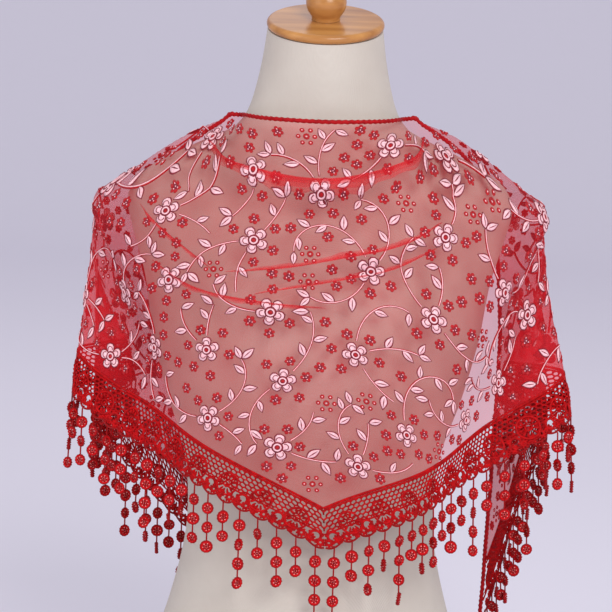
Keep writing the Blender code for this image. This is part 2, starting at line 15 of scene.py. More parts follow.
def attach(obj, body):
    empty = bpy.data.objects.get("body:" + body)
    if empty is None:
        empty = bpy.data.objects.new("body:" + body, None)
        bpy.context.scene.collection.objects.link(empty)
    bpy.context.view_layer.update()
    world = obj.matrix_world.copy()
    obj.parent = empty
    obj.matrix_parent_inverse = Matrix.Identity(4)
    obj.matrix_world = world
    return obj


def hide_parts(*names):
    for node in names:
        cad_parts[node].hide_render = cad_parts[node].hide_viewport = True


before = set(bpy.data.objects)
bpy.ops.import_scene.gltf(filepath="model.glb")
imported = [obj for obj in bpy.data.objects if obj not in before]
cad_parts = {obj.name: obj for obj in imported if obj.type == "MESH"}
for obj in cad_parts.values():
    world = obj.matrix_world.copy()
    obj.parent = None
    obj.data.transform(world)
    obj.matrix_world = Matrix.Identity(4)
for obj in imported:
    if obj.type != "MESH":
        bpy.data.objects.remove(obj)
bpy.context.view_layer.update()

CHANCE = random.Random(7)

# Flat cut, as in the frame
HALF_EDGE = 0.700
CUT_HEIGHT = 0.412
BORDER_WIDTH = 0.035
SHOULDER = np.array((0.2075, -0.005, 0.517))
SHOULDER_FLAT = (0.257, 0.063)
NECK_FLAT_U = 0.105
POINT_SHIFT = 0.014
SIDE_Y = -0.005
BORDER_SLOPE = math.hypot(1.0, CUT_HEIGHT / HALF_EDGE)
NET_DEPTH = CUT_HEIGHT - BORDER_WIDTH * BORDER_SLOPE
NET_TIP = HALF_EDGE * NET_DEPTH / CUT_HEIGHT

FRONT_SECTIONS = [
    # v, z, side_drop, half_x, front_y
    (-0.010, 0.5960, -0.004, 0.060, -0.075),
    (0.000, 0.5870, -0.004, 0.079, -0.079),
    (0.030, 0.5600, -0.007, 0.1415, -0.090),
    (0.063, 0.5280, 0.010, 0.2075, -0.104),
    (0.130, 0.4660, 0.014, 0.2120, -0.115),
    (0.200, 0.4010, 0.016, 0.2140, -0.119),
    (0.270, 0.3360, 0.016, 0.2180, -0.117),
    (0.340, 0.2710, 0.014, 0.2220, -0.113),
    (0.430, 0.1880, 0.010, 0.2260, -0.109),
]
RIGHT_FOLDS = [
    # angle, out, back, up
    (-114.0, -0.781, 0.012, 0.450),
    (-80.0, -0.780, -0.250, -0.050),
    (-50.0, -0.620, -0.420, -0.600),
    (-14.0, -0.220, -0.300, -0.924),
    (0.0, 0.030, -0.265, -0.959),
    (10.0, 0.155, -0.225, -0.957),
    (16.0, 0.175, -0.160, -0.967),
    (22.0, 0.130, -0.100, -0.982),
    (34.0, -0.120, -0.045, -0.987),
    (41.0, -0.195, 0.000, -0.976),
    (48.0, -0.190, 0.065, -0.975),
    (60.0, 0.010, 0.105, -0.989),
    (67.0, 0.070, 0.140, -0.982),
    (74.0, 0.058, 0.198, -0.974),
    (86.0, -0.015, 0.225, -0.972),
    (98.0, -0.075, 0.262, -0.960),
    (118.0, -0.220, 0.420, -0.872),
    (145.0, -0.480, 0.620, -0.560),
    (180.0, -0.600, 0.700, -0.150),
    (215.0, -0.760, 0.360, 0.240),
    (246.0, -0.781, 0.012, 0.450),
]
LEFT_FOLDS = [
    # angle, out, back, up
    (-114.0, -0.781, 0.012, 0.450),
    (-80.0, -0.780, -0.250, -0.050),
    (-50.0, -0.620, -0.420, -0.600),
    (-14.0, -0.210, -0.290, -0.929),
    (0.0, -0.020, -0.245, -0.964),
    (10.0, 0.080, -0.205, -0.971),
    (16.0, 0.095, -0.150, -0.979),
    (22.0, 0.060, -0.095, -0.989),
    (34.0, -0.140, -0.045, -0.984),
    (41.0, -0.210, 0.000, -0.973),
    (48.0, -0.205, 0.065, -0.972),
    (60.0, -0.050, 0.102, -0.988),
    (67.0, 0.000, 0.138, -0.985),
    (74.0, -0.018, 0.196, -0.975),
    (86.0, -0.150, 0.238, -0.954),
    (98.0, -0.305, 0.300, -0.899),
    (118.0, -0.380, 0.430, -0.815),
    (145.0, -0.480, 0.620, -0.560),
    (180.0, -0.600, 0.700, -0.150),
    (215.0, -0.760, 0.360, 0.240),
    (246.0, -0.781, 0.012, 0.450),
]
SMOOTH_SIDE = [
    # angle, out, back, up
    (-114.0, -0.781, 0.012, 0.450),
    (-50.0, -0.560, -0.480, -0.560),
    (0.0, 0.020, -0.260, -0.930),
    (50.0, 0.060, 0.080, -0.960),
    (98.0, -0.100, 0.300, -0.920),
    (140.0, -0.420, 0.560, -0.600),
    (180.0, -0.600, 0.700, -0.150),
    (215.0, -0.760, 0.360, 0.240),
    (246.0, -0.781, 0.012, 0.450),
]
FOLD_START = 0.035
FOLD_FULL = 0.150
FRONT_TO_SIDE = (-52.0, -12.0)
SAGS = {1: (0.022, 0.0, 0.170), -1: (0.012, 0.120, 0.210)}  # depth, and the |x| where it starts and is whole
SAG_DEPTHS = (0.040, 0.240)
RIDGE_RISES = {1: 0.011, -1: 0.007}  # how far the shoulder line bulges over a straight one
RIDGE_REACH = 0.195
RIDGE_FROM = -114.0
RIDGE_WIDTH = 70.0
RIDGE_ANGLES = (-114.0, -85.0)
MIDDLE_FADE = (0.0, 0.170)
NECK_FADE = (0.070, 0.116)

# Main creases, as in the frame, then finer ones that only show here
CREASES = [
    # depth, reach, line
    (0.0080, 0.013, [(-0.125, 0.028), (-0.060, 0.047), (0.000, 0.055), (0.060, 0.043), (0.115, 0.020)]),
    (-0.0070, 0.010, [(-0.120, 0.050), (-0.060, 0.069), (0.000, 0.075), (0.065, 0.062), (0.125, 0.036)]),
    (0.0060, 0.012, [(-0.155, 0.128), (-0.110, 0.156), (-0.050, 0.170), (0.005, 0.175)]),
    (0.0060, 0.012, [(0.110, 0.085), (0.075, 0.108), (0.030, 0.124), (-0.030, 0.138), (-0.085, 0.142)]),
    (-0.0050, 0.012, [(0.105, 0.108), (0.065, 0.132), (0.010, 0.150), (-0.060, 0.164)]),
    (0.0045, 0.014, [(-0.170, 0.075), (-0.130, 0.110), (-0.095, 0.140)]),
    (0.0045, 0.016, [(0.150, 0.120), (0.120, 0.170), (0.070, 0.215)]),
    (0.0022, 0.005, [(-0.100, 0.036), (-0.045, 0.056), (0.010, 0.063), (0.060, 0.052), (0.110, 0.028)]),
    (0.0020, 0.005, [(-0.140, 0.100), (-0.095, 0.128), (-0.040, 0.146), (0.020, 0.150)]),
    (0.0018, 0.006, [(0.170, 0.080), (0.150, 0.140), (0.135, 0.210), (0.125, 0.280)]),
    (0.0018, 0.006, [(-0.175, 0.090), (-0.160, 0.150), (-0.150, 0.220), (-0.135, 0.290)]),
    (0.0020, 0.007, [(0.235, 0.090), (0.232, 0.150), (0.230, 0.215)]),
    (0.0020, 0.007, [(-0.238, 0.095), (-0.235, 0.150), (-0.232, 0.215)]),
    (0.0016, 0.006, [(0.400, 0.050), (0.450, 0.040), (0.520, 0.024)]),
    (0.0016, 0.006, [(-0.390, 0.060), (-0.450, 0.046), (-0.520, 0.026)]),
]

FORM_SECTIONS = [
    # z, half_x, front, back, middle_y
    (0.000, 0.154, 0.098, 0.098, 0.000),
    (0.006, 0.158, 0.102, 0.102, 0.000),
    (0.060, 0.154, 0.104, 0.106, 0.000),
    (0.130, 0.132, 0.094, 0.098, 0.000),
    (0.185, 0.119, 0.084, 0.082, 0.000),
    (0.225, 0.116, 0.080, 0.074, 0.000),
    (0.275, 0.121, 0.086, 0.076, 0.000),
    (0.330, 0.139, 0.098, 0.082, 0.000),
    (0.385, 0.153, 0.105, 0.086, 0.000),
    (0.440, 0.162, 0.096, 0.084, 0.000),
    (0.484, 0.175, 0.082, 0.068, 0.002),
    (0.512, 0.180, 0.074, 0.055, 0.002),
    (0.5330, 0.169, 0.067, 0.047, 0.003),
    (0.5525, 0.138, 0.062, 0.043, 0.003),
    (0.5670, 0.108, 0.060, 0.042, 0.003),
    (0.5772, 0.085, 0.058, 0.044, 0.002),
    (0.5890, 0.0735, 0.056, 0.046, 0.000),
    (0.606, 0.0660, 0.054, 0.048, -0.003),
    (0.642, 0.0580, 0.052, 0.049, -0.007),
    (0.676, 0.0535, 0.050, 0.049, -0.011),
]
NECK_TILT = math.radians(17.0)
TILT_FROM = 0.580
CAP_RADIUS = 0.0545
CAP_THICK = 0.0085
KNOB_RADIUS = 0.0185
KNOB_HEIGHT = 0.030

# Fringe, as in the frame
DROPS_PER_SIDE = 43
FOOTING_GAP = 0.0010
FOOTING_WIDTH = 0.0032
DISC_RADIUS = 0.0058
DISC_STEP = 0.0175
DROP_HEAD = 0.0040
DROP_LEAN = 0.05
DISCS_BY_TURN = (3, 2, 3, 2, 4, 2, 3)

SCALLOP = 0.0042  # how far the rim rises between drops

MAP_STEP = 0.0025  # spacing of the cloth map in the cut


def smooth_step(low, high, value):
    share = np.clip((value - low) / (high - low), 0.0, 1.0)
    return share * share * (3.0 - 2.0 * share)


def read_table(rows, key):
    """Columns of a table at an array of keys, on smooth curves through its rows."""
    table = np.array(rows)
    knots, values = table[:, 0], table[:, 1:]
    key = np.clip(np.asarray(key, dtype=float), knots[0], knots[-1])
    at = np.clip(np.searchsorted(knots, key, side="left") - 1, 0, len(knots) - 2)
    before = np.maximum(at - 1, 0)
    after = np.minimum(at + 2, len(knots) - 1)
    span = knots[at + 1] - knots[at]
    t = ((key - knots[at]) / span)[..., None]
    low, high = values[at], values[at + 1]
    start = (high - values[before]) / (knots[at + 1] - knots[before])[..., None] * span[..., None]
    end = (values[after] - low) / (knots[after] - knots[at])[..., None] * span[..., None]
    return ((2 * t**3 - 3 * t**2 + 1) * low + (t**3 - 2 * t**2 + t) * start
            + (-2 * t**3 + 3 * t**2) * high + (t**3 - t**2) * end)


def ellipse_angle(share, half_x, depth, steps=24):
    """Angles at which arcs from the front have these shares of a quarter ellipse."""
    quarter = math.pi / 2
    middles = (np.arange(steps) + 0.5) * quarter / steps
    pieces = np.hypot(half_x[..., None] * np.cos(middles), depth[..., None] * np.sin(middles))
    lengths = np.concatenate([np.zeros(pieces.shape[:-1] + (1,)), np.cumsum(pieces, -1)], -1)
    want = share * lengths[..., -1]
    at = np.minimum((lengths[..., 1:] < want[..., None]).sum(-1), steps - 1)
    low = np.take_along_axis(lengths, at[..., None], -1)[..., 0]
    step = np.take_along_axis(pieces, at[..., None], -1)[..., 0]
    return (at + (want - low) / step) * quarter / steps


def front_places(u, v):
    """Cloth in front of the form, level by level."""
    z, side_drop, half_x, front_y = np.moveaxis(read_table(FRONT_SECTIONS, v), -1, 0)
    ridge = NECK_FLAT_U + (SHOULDER_FLAT[0] - NECK_FLAT_U) * v / SHOULDER_FLAT[1]
    side_u = np.clip(ridge, 0.08, SHOULDER_FLAT[0])
    share = np.minimum(np.abs(u) / side_u, 1.2)
    depth = SIDE_Y - front_y
    angle = ellipse_angle(share, half_x, depth)
    x = half_x * np.sin(angle) * np.where(u >= 0, 1.0, -1.0)
    shift = POINT_SHIFT * (np.maximum(v, 0.0) / CUT_HEIGHT) ** 2
    return np.stack([x + shift, SIDE_Y - depth * np.cos(angle), z - side_drop * np.sin(angle) ** 2], -1)


def side_places(u, v):
    """Cloth hanging from a shoulder in folds that radiate from it, and the angle there."""
    du, dv = np.abs(u) - SHOULDER_FLAT[0], v - SHOULDER_FLAT[1]
    away = np.hypot(du, dv)
    angle = np.degrees(np.arctan2(du, dv))
    angle = np.where(angle < RIDGE_ANGLES[0], angle + 360.0, angle)
    right = (u >= 0)[..., None]
    folded = np.where(right, read_table(RIGHT_FOLDS, angle), read_table(LEFT_FOLDS, angle))
    plain = read_table(SMOOTH_SIDE, angle)
    share = smooth_step(FOLD_START, FOLD_FULL, away)[..., None]
    place = SHOULDER + (plain + (folded - plain) * share) * away[..., None]
    from_ridge = np.minimum(angle - RIDGE_FROM, RIDGE_FROM + 360.0 - angle)
    rise = np.where(u >= 0, RIDGE_RISES[1], RIDGE_RISES[-1]) * (1.0 - smooth_step(0.0, RIDGE_WIDTH, from_ridge))
    place[..., 2] += rise * np.sin(math.pi * np.clip(away / RIDGE_REACH, 0.0, 1.0)) ** 2
    place[..., 0] *= np.where(u >= 0, 1.0, -1.0)
    return place, angle


def crease_heights(u, v):
    """How far the creases push the cloth out."""
    height = np.zeros_like(u)
    for depth, reach, line in CREASES:
        nearest = np.full_like(u, 1.0)
        along = np.zeros_like(u)
        for i, ((u0, v0), (u1, v1)) in enumerate(zip(line, line[1:])):
            run = (u1 - u0) ** 2 + (v1 - v0) ** 2
            t = np.clip(((u - u0) * (u1 - u0) + (v - v0) * (v1 - v0)) / run, 0.0, 1.0)
            away = np.hypot(u - u0 - t * (u1 - u0), v - v0 - t * (v1 - v0))
            closer = away < nearest
            nearest = np.where(closer, away, nearest)
            along = np.where(closer, (i + t) / (len(line) - 1), along)
        ends = np.sin(math.pi * np.clip(along, 0.04, 0.96))
        height += depth * ends * np.exp(-((nearest / reach) ** 2))
    soft = np.sin(61 * u + 23 * v + 2 * np.sin(31 * v)) * np.sin(47 * v - 19 * u + 1.3 * np.sin(40 * u))
    return height + 0.0005 * soft


class Cloth:
    """The hanging cloth as a fine grid over the cut, read between its points."""

    def __init__(self):
        self.us = np.arange(-0.712, 0.7121, MAP_STEP)
        self.vs = np.arange(-0.010, 0.4421, MAP_STEP)
        u, v = np.meshgrid(self.us, self.vs, indexing="ij")
        front = front_places(u, v)
        side, angle = side_places(u, v)
        by_side = smooth_step(*FRONT_TO_SIDE, angle) * smooth_step(*MIDDLE_FADE, np.abs(u))
        by_ridge = (1.0 - smooth_step(*RIDGE_ANGLES, angle)) * smooth_step(*NECK_FADE, np.abs(u))
        share = np.where(angle > FRONT_TO_SIDE[1], 1.0, np.maximum(by_side, by_ridge))
        base = front + (side - front) * share[..., None]
        for way, (sag, start, whole) in SAGS.items():
            base[..., 2] -= sag * smooth_step(start, whole, way * base[..., 0]) * smooth_step(*SAG_DEPTHS, v)
        normal = self.normals_of(base)
        self.places = base + normal * crease_heights(u, v)[..., None]
        self.normals = self.normals_of(self.places)

    @staticmethod
    def normals_of(places):
        across = np.gradient(places, axis=0)
        down = np.gradient(places, axis=1)
        normal = np.cross(down, across)
        return normal / np.maximum(np.linalg.norm(normal, axis=-1, keepdims=True), 1e-12)

    def read(self, points):
        """Places and outward normals at an array of (u, v)."""
        points = np.asarray(points, dtype=float)
        fu = np.clip((points[..., 0] - self.us[0]) / MAP_STEP, 0, len(self.us) - 1.001)
        fv = np.clip((points[..., 1] - self.vs[0]) / MAP_STEP, 0, len(self.vs) - 1.001)
        iu, iv = fu.astype(int), fv.astype(int)
        tu, tv = (fu - iu)[..., None], (fv - iv)[..., None]

        def blend(grid):
            return ((grid[iu, iv] * (1 - tu) + grid[iu + 1, iv] * tu) * (1 - tv)
                    + (grid[iu, iv + 1] * (1 - tu) + grid[iu + 1, iv + 1] * tu) * tv)

        normal = blend(self.normals)
        return blend(self.places), normal / np.linalg.norm(normal, axis=-1, keepdims=True)


CLOTH = Cloth()


class Shapes:
    """Gathers vertices, faces and material numbers for one joined mesh."""

    def __init__(self):
        self.verts, self.faces, self.slots, self.flats = [], [], [], []
        self.count = 0

    def add(self, verts, faces, slot=0, flats=None):
        verts = np.asarray(verts, dtype=float).reshape(-1, 3)
        self.verts.append(verts)
        self.flats.append(np.zeros((len(verts), 2)) if flats is None else np.asarray(flats).reshape(-1, 2))
        self.faces += [tuple(i + self.count for i in face) for face in faces]
        self.slots += [slot] * len(faces) if isinstance(slot, int) else slot
        self.count += len(verts)

    def make(self, name, materials, slot_name):
        mesh = bpy.data.meshes.new(name)
        mesh.from_pydata(np.concatenate(self.verts).tolist(), [], self.faces)
        for m in materials:
            mesh.materials.append(m)
        mesh.polygons.foreach_set("material_index", self.slots)
        layer = mesh.uv_layers.new(name="cut")
        loops = np.empty(len(mesh.loops), dtype=np.int32)
        mesh.loops.foreach_get("vertex_index", loops)
        layer.data.foreach_set("uv", np.concatenate(self.flats)[loops].ravel())
        mesh.shade_smooth()
        made = bpy.data.objects.new(name, mesh)
        bpy.context.scene.collection.objects.link(made)
        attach(made, "root")
        return made


def flat_cord(shapes, line, radius, lift, slot=0, sides=4, closed=False, flatten=0.7):
    """A thin cord sewn along a line of the cut. radius may vary from point to point."""
    line = np.asarray(line, dtype=float)
    radius = np.broadcast_to(np.asarray(radius, dtype=float), (len(line),))
    if closed:
        along = np.roll(line, -1, 0) - np.roll(line, 1, 0)
    else:
        along = np.gradient(line, axis=0)
    along /= np.maximum(np.linalg.norm(along, axis=1, keepdims=True), 1e-12)
    across = np.stack([-along[:, 1], along[:, 0]], 1)
    _, normal = CLOTH.read(line)
    rings = []
    for k in range(sides):
        turn = 2 * math.pi * (k + 0.5) / sides
        flat = line + across * (radius * math.cos(turn))[:, None]
        place, _ = CLOTH.read(flat)
        rings.append(place + normal * (lift + radius * flatten * math.sin(turn))[:, None])
    verts = np.stack(rings, 1)
    count = len(line)
    faces = []
    for i in range(count if closed else count - 1):
        j = (i + 1) % count
        for k in range(sides):
            n = (k + 1) % sides
            faces.append((i * sides + k, i * sides + n, j * sides + n, j * sides + k))
    if not closed:
        faces.append(tuple(range(sides)))
        faces.append(tuple((count - 1) * sides + k for k in reversed(range(sides))))
    shapes.add(verts, faces, slot, np.repeat(line, sides, 0))


def flat_patch(shapes, outline, lift, crown, slot, inner=0.55):
    """A padded patch of satin stitch: an outline in the cut, crowned towards its middle."""
    outline = np.asarray(outline, dtype=float)
    middle = outline.mean(0)
    count = len(outline)
    mid_ring = middle + (outline - middle) * inner
    flats = np.concatenate([outline, outline, mid_ring, middle[None]])
    heights = np.concatenate([np.full(count, 0.0), np.full(count, lift),
                              np.full(count, lift + crown * 0.8), [lift + crown]])
    place, normal = CLOTH.read(flats)
    faces = []
    for i in range(count):
        j = (i + 1) % count
        faces.append((i, j, count + j, count + i))
        faces.append((count + i, count + j, 2 * count + j, 2 * count + i))
        faces.append((2 * count + i, 2 * count + j, 3 * count))
    faces.append(tuple(reversed(range(count))))
    shapes.add(place + normal * heights[:, None], faces, slot, flats)


def turned_about(points, angle, centre, size=1.0):
    """Local points of a motif, sized, turned and put at a centre of the cut."""
    c, s = math.cos(angle), math.sin(angle)
    points = np.asarray(points) * size
    return np.stack([points[:, 0] * c - points[:, 1] * s, points[:, 0] * s + points[:, 1] * c], 1) + centre


def circle(radius, count, centre=(0.0, 0.0)):
    turn = 2 * math.pi * np.arange(count) / count
    return np.stack([np.cos(turn), np.sin(turn)], 1) * radius + np.asarray(centre)


def in_net(point, margin):
    """True if a point of the cut lies on the net, at least margin from its edges."""
    u, v = point
    return margin < v < NET_DEPTH * (1 - abs(u) / NET_TIP) - margin * BORDER_SLOPE


PINK, WINE, RED = 0, 1, 2
FLOWER_SIZE = 0.0130
FLOWER_SPACING = 0.060
FLOWER_MARGIN = 0.014
FLOWER_TRIES = 2500
VINES_A_FLOWER = 3
VINE_STEPS = 18
VINE_CHOICES = 22
VINE_LEAST = 7
ROSETTES_ROUND = 5
RING_FLOWER_TRIES = 500
ROSETTE_TRIES = 3400
LARGEST_ROSETTE = 0.006
NET_ALPHAS = (0.32, 0.39, 0.46, 0.53, 0.59, 0.65, 0.70)  # flat net to gathered net
GATHERED = (0.18, 0.36)  # distances from the middle of the cut where the gathers start and are whole
TUCKS = [
    # crease, width of the fold
    (0, 0.0115),
    (2, 0.0042),
    (3, 0.0046),
    (4, 0.0040),
    (5, 0.0034),
]
TUCK_LAYERS = [
    # share of the width, lift
    (1.00, 0.0005),
    (0.62, 0.0009),
    (0.36, 0.0013),
    (0.20, 0.0017),
]


def petal(length, width, count=10):
    """Outline of a broad rounded petal that grows from the origin along +x."""
    turn = np.linspace(0, 2 * math.pi, count, endpoint=False)
    x = length * (0.56 - 0.44 * np.cos(turn))
    y = 0.5 * width * np.sin(turn) * (0.80 - 0.30 * np.cos(turn))
    return np.stack([x, y], 1)


def leaf(length, width, count=5):
    """Outline of a leaf pointed at both ends, from the origin along +x."""
    t = np.linspace(0, 1, count + 2)
    edge = 0.5 * width * np.sin(math.pi * t ** 0.85)
    upper = np.stack([t * length, edge], 1)
    lower = np.stack([t[1:-1][::-1] * length, -edge[1:-1][::-1]], 1)
    return np.concatenate([upper, lower])


def heading(angle):
    return np.array([math.cos(angle), math.sin(angle)])


SEAM_TURNS = np.linspace(-1.9, 1.9, 8)


def sew_flower(shapes, centre, size, angle):
    """Pale five-petal flower: crescent petals outlined in wine round a ring."""
    for k in range(5):
        turn = angle + math.tau * k / 5
        flat_patch(shapes, turned_about(petal(1.0, 0.92), turn, centre, size), 0.0003, 0.0001, WINE)
        inside = petal(0.88, 0.72) + (0.05, 0)
        flat_patch(shapes, turned_about(inside, turn, centre, size), 0.0009, 0.0003, PINK)
        seam = 0.21 * np.stack([np.cos(SEAM_TURNS), np.sin(SEAM_TURNS)], 1) + (0.52, 0)
        flat_cord(shapes, turned_about(seam, turn, centre, size), size * 0.036, 0.0013, WINE)
    flat_patch(shapes, circle(size * 0.40, 12, centre), 0.0012, 0.0003, WINE)
    flat_cord(shapes, circle(size * 0.235, 12, centre), size * 0.070, 0.0017, PINK, closed=True)
    flat_patch(shapes, circle(size * 0.13, 6, centre), 0.0016, 0.0002, RED)


def sew_leaf(shapes, foot, length, angle):
    """Pale leaf, outlined in wine, with a wine midrib."""
    width = length * 0.51
    flat_patch(shapes, turned_about(leaf(length, width), angle, foot), 0.0004, 0.0001, WINE)
    inside = turned_about(leaf(length * 0.84, width * 0.72) + (length * 0.08, 0), angle, foot)
    flat_patch(shapes, inside, 0.0008, 0.0005, PINK)
    rib = turned_about([(length * 0.22, 0), (length * 0.50, 0), (length * 0.78, 0)], angle, foot)
    flat_cord(shapes, rib, [length * 0.014, length * 0.040, length * 0.014], 0.0013, WINE)


def sew_rosette(shapes, centre, size):
    """Small red rosette of six round lobes with pale stitches in its middle."""
    turn = CHANCE.uniform(0, 1)
    for spot in turned_about(circle(0.66, 6), turn, centre, size):
        flat_patch(shapes, circle(size * 0.36, 6, spot), 0.0004, 0.0004, RED)
    flat_patch(shapes, circle(size * 0.50, 6, centre), 0.0005, 0.0003, WINE)
    for spot in turned_about([(0, 0), (0.42, 0.1), (-0.2, 0.38), (-0.15, -0.4)], turn, centre, size):
        flat_patch(shapes, circle(size * 0.12, 4, spot), 0.0009, 0.0003, PINK)


def sew_ring_flower(shapes, centre, size):
    """Red flower made of six small rings round a larger one."""
    flat_cord(shapes, circle(size * 0.26, 8, centre), size * 0.15, 0.0005, RED, closed=True)
    flat_patch(shapes, circle(size * 0.10, 4, centre), 0.0008, 0.0002, PINK)
    for spot in circle(size * 0.86, 6, centre):
        flat_patch(shapes, circle(size * 0.27, 7, spot), 0.0005, 0.0003, RED)
        flat_patch(shapes, circle(size * 0.09, 4, spot), 0.0010, 0.0002, PINK)


class Taken:
    """Points of the cut that are already sewn over."""

    def __init__(self):
        self.points = np.zeros((0, 2))

    def add(self, points):
        self.points = np.concatenate([self.points, np.atleast_2d(points)])

    def room(self, points):
        """Distance from each point to the nearest one that is taken."""
        points = np.atleast_2d(points)
        if not len(self.points):
            return np.full(len(points), 1.0)
        return np.linalg.norm(points[:, None] - self.points[None], axis=2).min(1)


def flower_places():
    """Centres of the large flowers, strewn at random but never close together."""
    places = []
    for _ in range(FLOWER_TRIES):
        spot = (CHANCE.uniform(-NET_TIP, NET_TIP), CHANCE.uniform(0, NET_DEPTH))
        if in_net(spot, FLOWER_MARGIN) and all(math.dist(spot, p) > FLOWER_SPACING for p in places):
            places.append(spot)
    return places


def vine_from(centre, angle, bend, length):
    """A vine that leaves a flower at an angle and curls in as it goes."""
    way = angle
    points = [np.asarray(centre) + FLOWER_SIZE * 1.05 * heading(angle)]
    for i in range(VINE_STEPS):
        way += bend * (0.5 + 1.3 * i / VINE_STEPS) * length / VINE_STEPS
        points.append(points[-1] + heading(way) * length / VINE_STEPS)
    return np.array(points)


def best_vine(centre, taken):
    """The roomiest of several random vines, cut short where it would run into something."""
    best, best_score = None, 0
    for _ in range(VINE_CHOICES):
        line = vine_from(centre, CHANCE.uniform(0, math.tau),
                         CHANCE.choice((-1, 1)) * CHANCE.uniform(16, 34), CHANCE.uniform(0.070, 0.105))
        clear = taken.room(line) > 0.0080
        clear[:3] = True
        inside = np.array([in_net(p, 0.006) for p in line])
        good = clear & inside
        run = len(line) if good.all() else int(np.argmin(good))
        if run > best_score:
            best, best_score = line[:run], run
    return best if best_score >= VINE_LEAST else None


def sew_vine(shapes, line, taken):
    """A red cord with a pale line along it, partly pale thread and partly a painted highlight; leaves along it and
    three at its end.
    """
    flat_cord(shapes, line, 0.00130, 0.0001, RED)
    # The pale line along the red cord is partly pale thread and partly a painted highlight.
    flat_cord(shapes, line, 0.00050, 0.0008, PINK)
    leaves = [(line[-1], len(line) - 1, turn) for turn in (0.0, -1.25, 1.25)]
    for number, at in enumerate(range(3, len(line) - 2, 3)):
        side = 1 if number % 2 else -1
        leaves.append((line[at], at, side * CHANCE.uniform(0.75, 1.05)))
    for foot, at, turn in leaves:
        run = line[at] - line[at - 1]
        angle = math.atan2(run[1], run[0]) + turn
        length = CHANCE.uniform(0.0132, 0.0165)
        tip = foot + length * heading(angle)
        middle = foot + 0.6 * length * heading(angle)
        if in_net(tip, 0.002) and taken.room([tip, middle]).min() > 0.0034:
            sew_leaf(shapes, foot, length, angle)
            taken.add([middle, tip])
    taken.add(line)


def sew_spot(shapes, taken, spot, size):
    """A rosette or, where it is large, a ring flower, noted as taken."""
    if size > LARGEST_ROSETTE:
        sew_ring_flower(shapes, spot, size)
    else:
        sew_rosette(shapes, spot, size)
    taken.add(circle(size * 0.8, 6, spot))


def strew(shapes, taken, size, room, tries):
    """Spots of one size wherever there is this much room."""
    for _ in range(tries):
        spot = np.array((CHANCE.uniform(-NET_TIP, NET_TIP), CHANCE.uniform(0, NET_DEPTH)))
        if in_net(spot, size + 0.001) and taken.room(spot)[0] > room:
            sew_spot(shapes, taken, spot, size)


def embroidery():
    """Stitched flowers, vines with leaves, and red rosettes, strewn over the net."""
    flowers, vines, rosettes = Shapes(), Shapes(), Shapes()
    taken = Taken()
    places = flower_places()
    for centre in places:
        sew_flower(flowers, centre, FLOWER_SIZE * CHANCE.uniform(0.92, 1.06), CHANCE.uniform(0, math.tau))
        taken.add(circle(FLOWER_SIZE * 0.8, 8, centre))
    for centre in places:
        turn = CHANCE.uniform(0, math.tau)
        for k in range(ROSETTES_ROUND):
            spot = np.asarray(centre) + CHANCE.uniform(0.0195, 0.0220) * heading(turn + k * math.tau / 6)
            if in_net(spot, 0.006) and taken.room(spot)[0] > 0.0075:
                sew_spot(rosettes, taken, spot, CHANCE.uniform(0.0050, 0.0057))
    strew(rosettes, taken, 0.0082, 0.0190, RING_FLOWER_TRIES)
    for _ in range(VINES_A_FLOWER):
        for centre in places:
            line = best_vine(centre, taken)
            if line is not None:
                sew_vine(vines, line, taken)
    strew(rosettes, taken, 0.0082, 0.0145, RING_FLOWER_TRIES)
    strew(rosettes, taken, 0.0055, 0.0088, ROSETTE_TRIES)
    threads = [MATERIALS[n] for n in ("embroidery_pink", "embroidery_wine", "embroidery_red")]
    return [flowers.make("embroidery_flowers", threads, "net"), vines.make("embroidery_vines", threads, "net"),
            rosettes.make("embroidery_rosettes", threads, "net")]


def net_grid(columns, rows):
    """Points of the cut over the whole net, column by column, and the faces between them."""
    u = np.linspace(-NET_TIP + 0.0006, NET_TIP - 0.0006, columns + 1)
    share = np.linspace(0, 1, rows + 1)
    depth = NET_DEPTH * (1 - np.abs(u) / NET_TIP)
    flats = np.stack([np.repeat(u[:, None], rows + 1, 1), depth[:, None] * share[None]], -1)
    line = rows + 1
    faces = [(c * line + r, (c + 1) * line + r, (c + 1) * line + r + 1, c * line + r + 1)
             for c in range(columns) for r in range(rows)]
    return flats, faces, u


def net_shell():
    """The sheer net as one thin sheet; towards the tails it is gathered and looks denser."""
    columns, rows = 300, 84
    flats, faces, u = net_grid(columns, rows)
    place, _ = CLOTH.read(flats)
    shapes = Shapes()
    shapes.add(place, faces, 0, flats)
    middle = np.abs((u[1:] + u[:-1]) / 2)
    dense = smooth_step(GATHERED[0], GATHERED[1], middle)
    by_column = np.rint(dense * (len(NET_ALPHAS) - 1)).astype(int)
    shapes.slots = np.repeat(by_column, rows).tolist()
    return shapes.make("shawl_net", [MATERIALS[f"net_{i}"] for i in range(len(NET_ALPHAS))], "net")


def net_tucks():
    """Slim extra layers where the front cloth folds over itself along its creases."""
    shapes = Shapes()
    for number, width in TUCKS:
        line = np.array(CREASES[number][2])
        t = np.linspace(0, 1, 60)
        at = np.linspace(0, 1, len(line))
        curve = np.stack([smooth_curve(at, line[:, k], t) for k in (0, 1)], 1)
        run = np.gradient(curve, axis=0)
        run /= np.linalg.norm(run, axis=1, keepdims=True)
        across = np.stack([-run[:, 1], run[:, 0]], 1)
        swell = np.sin(math.pi * np.clip(t, 0.001, 0.999)) ** 0.6
        swell = swell * (1 + 0.22 * np.sin(23 * t + 7 * number) + 0.10 * np.sin(61 * t))
        for share, lift in TUCK_LAYERS:
            reach = (width * share * swell)[:, None]
            flats = np.stack([curve, curve + across * reach / 2, curve + across * reach], 1)
            place, normal = CLOTH.read(flats)
            faces = [(i * 3 + k, i * 3 + k + 1, (i + 1) * 3 + k + 1, (i + 1) * 3 + k)
                     for i in range(len(t) - 1) for k in (0, 1)]
            shapes.add(place + normal * lift, faces, 0, flats)
    return shapes.make("net_tucks", [MATERIALS["net_tuck"]], "net")


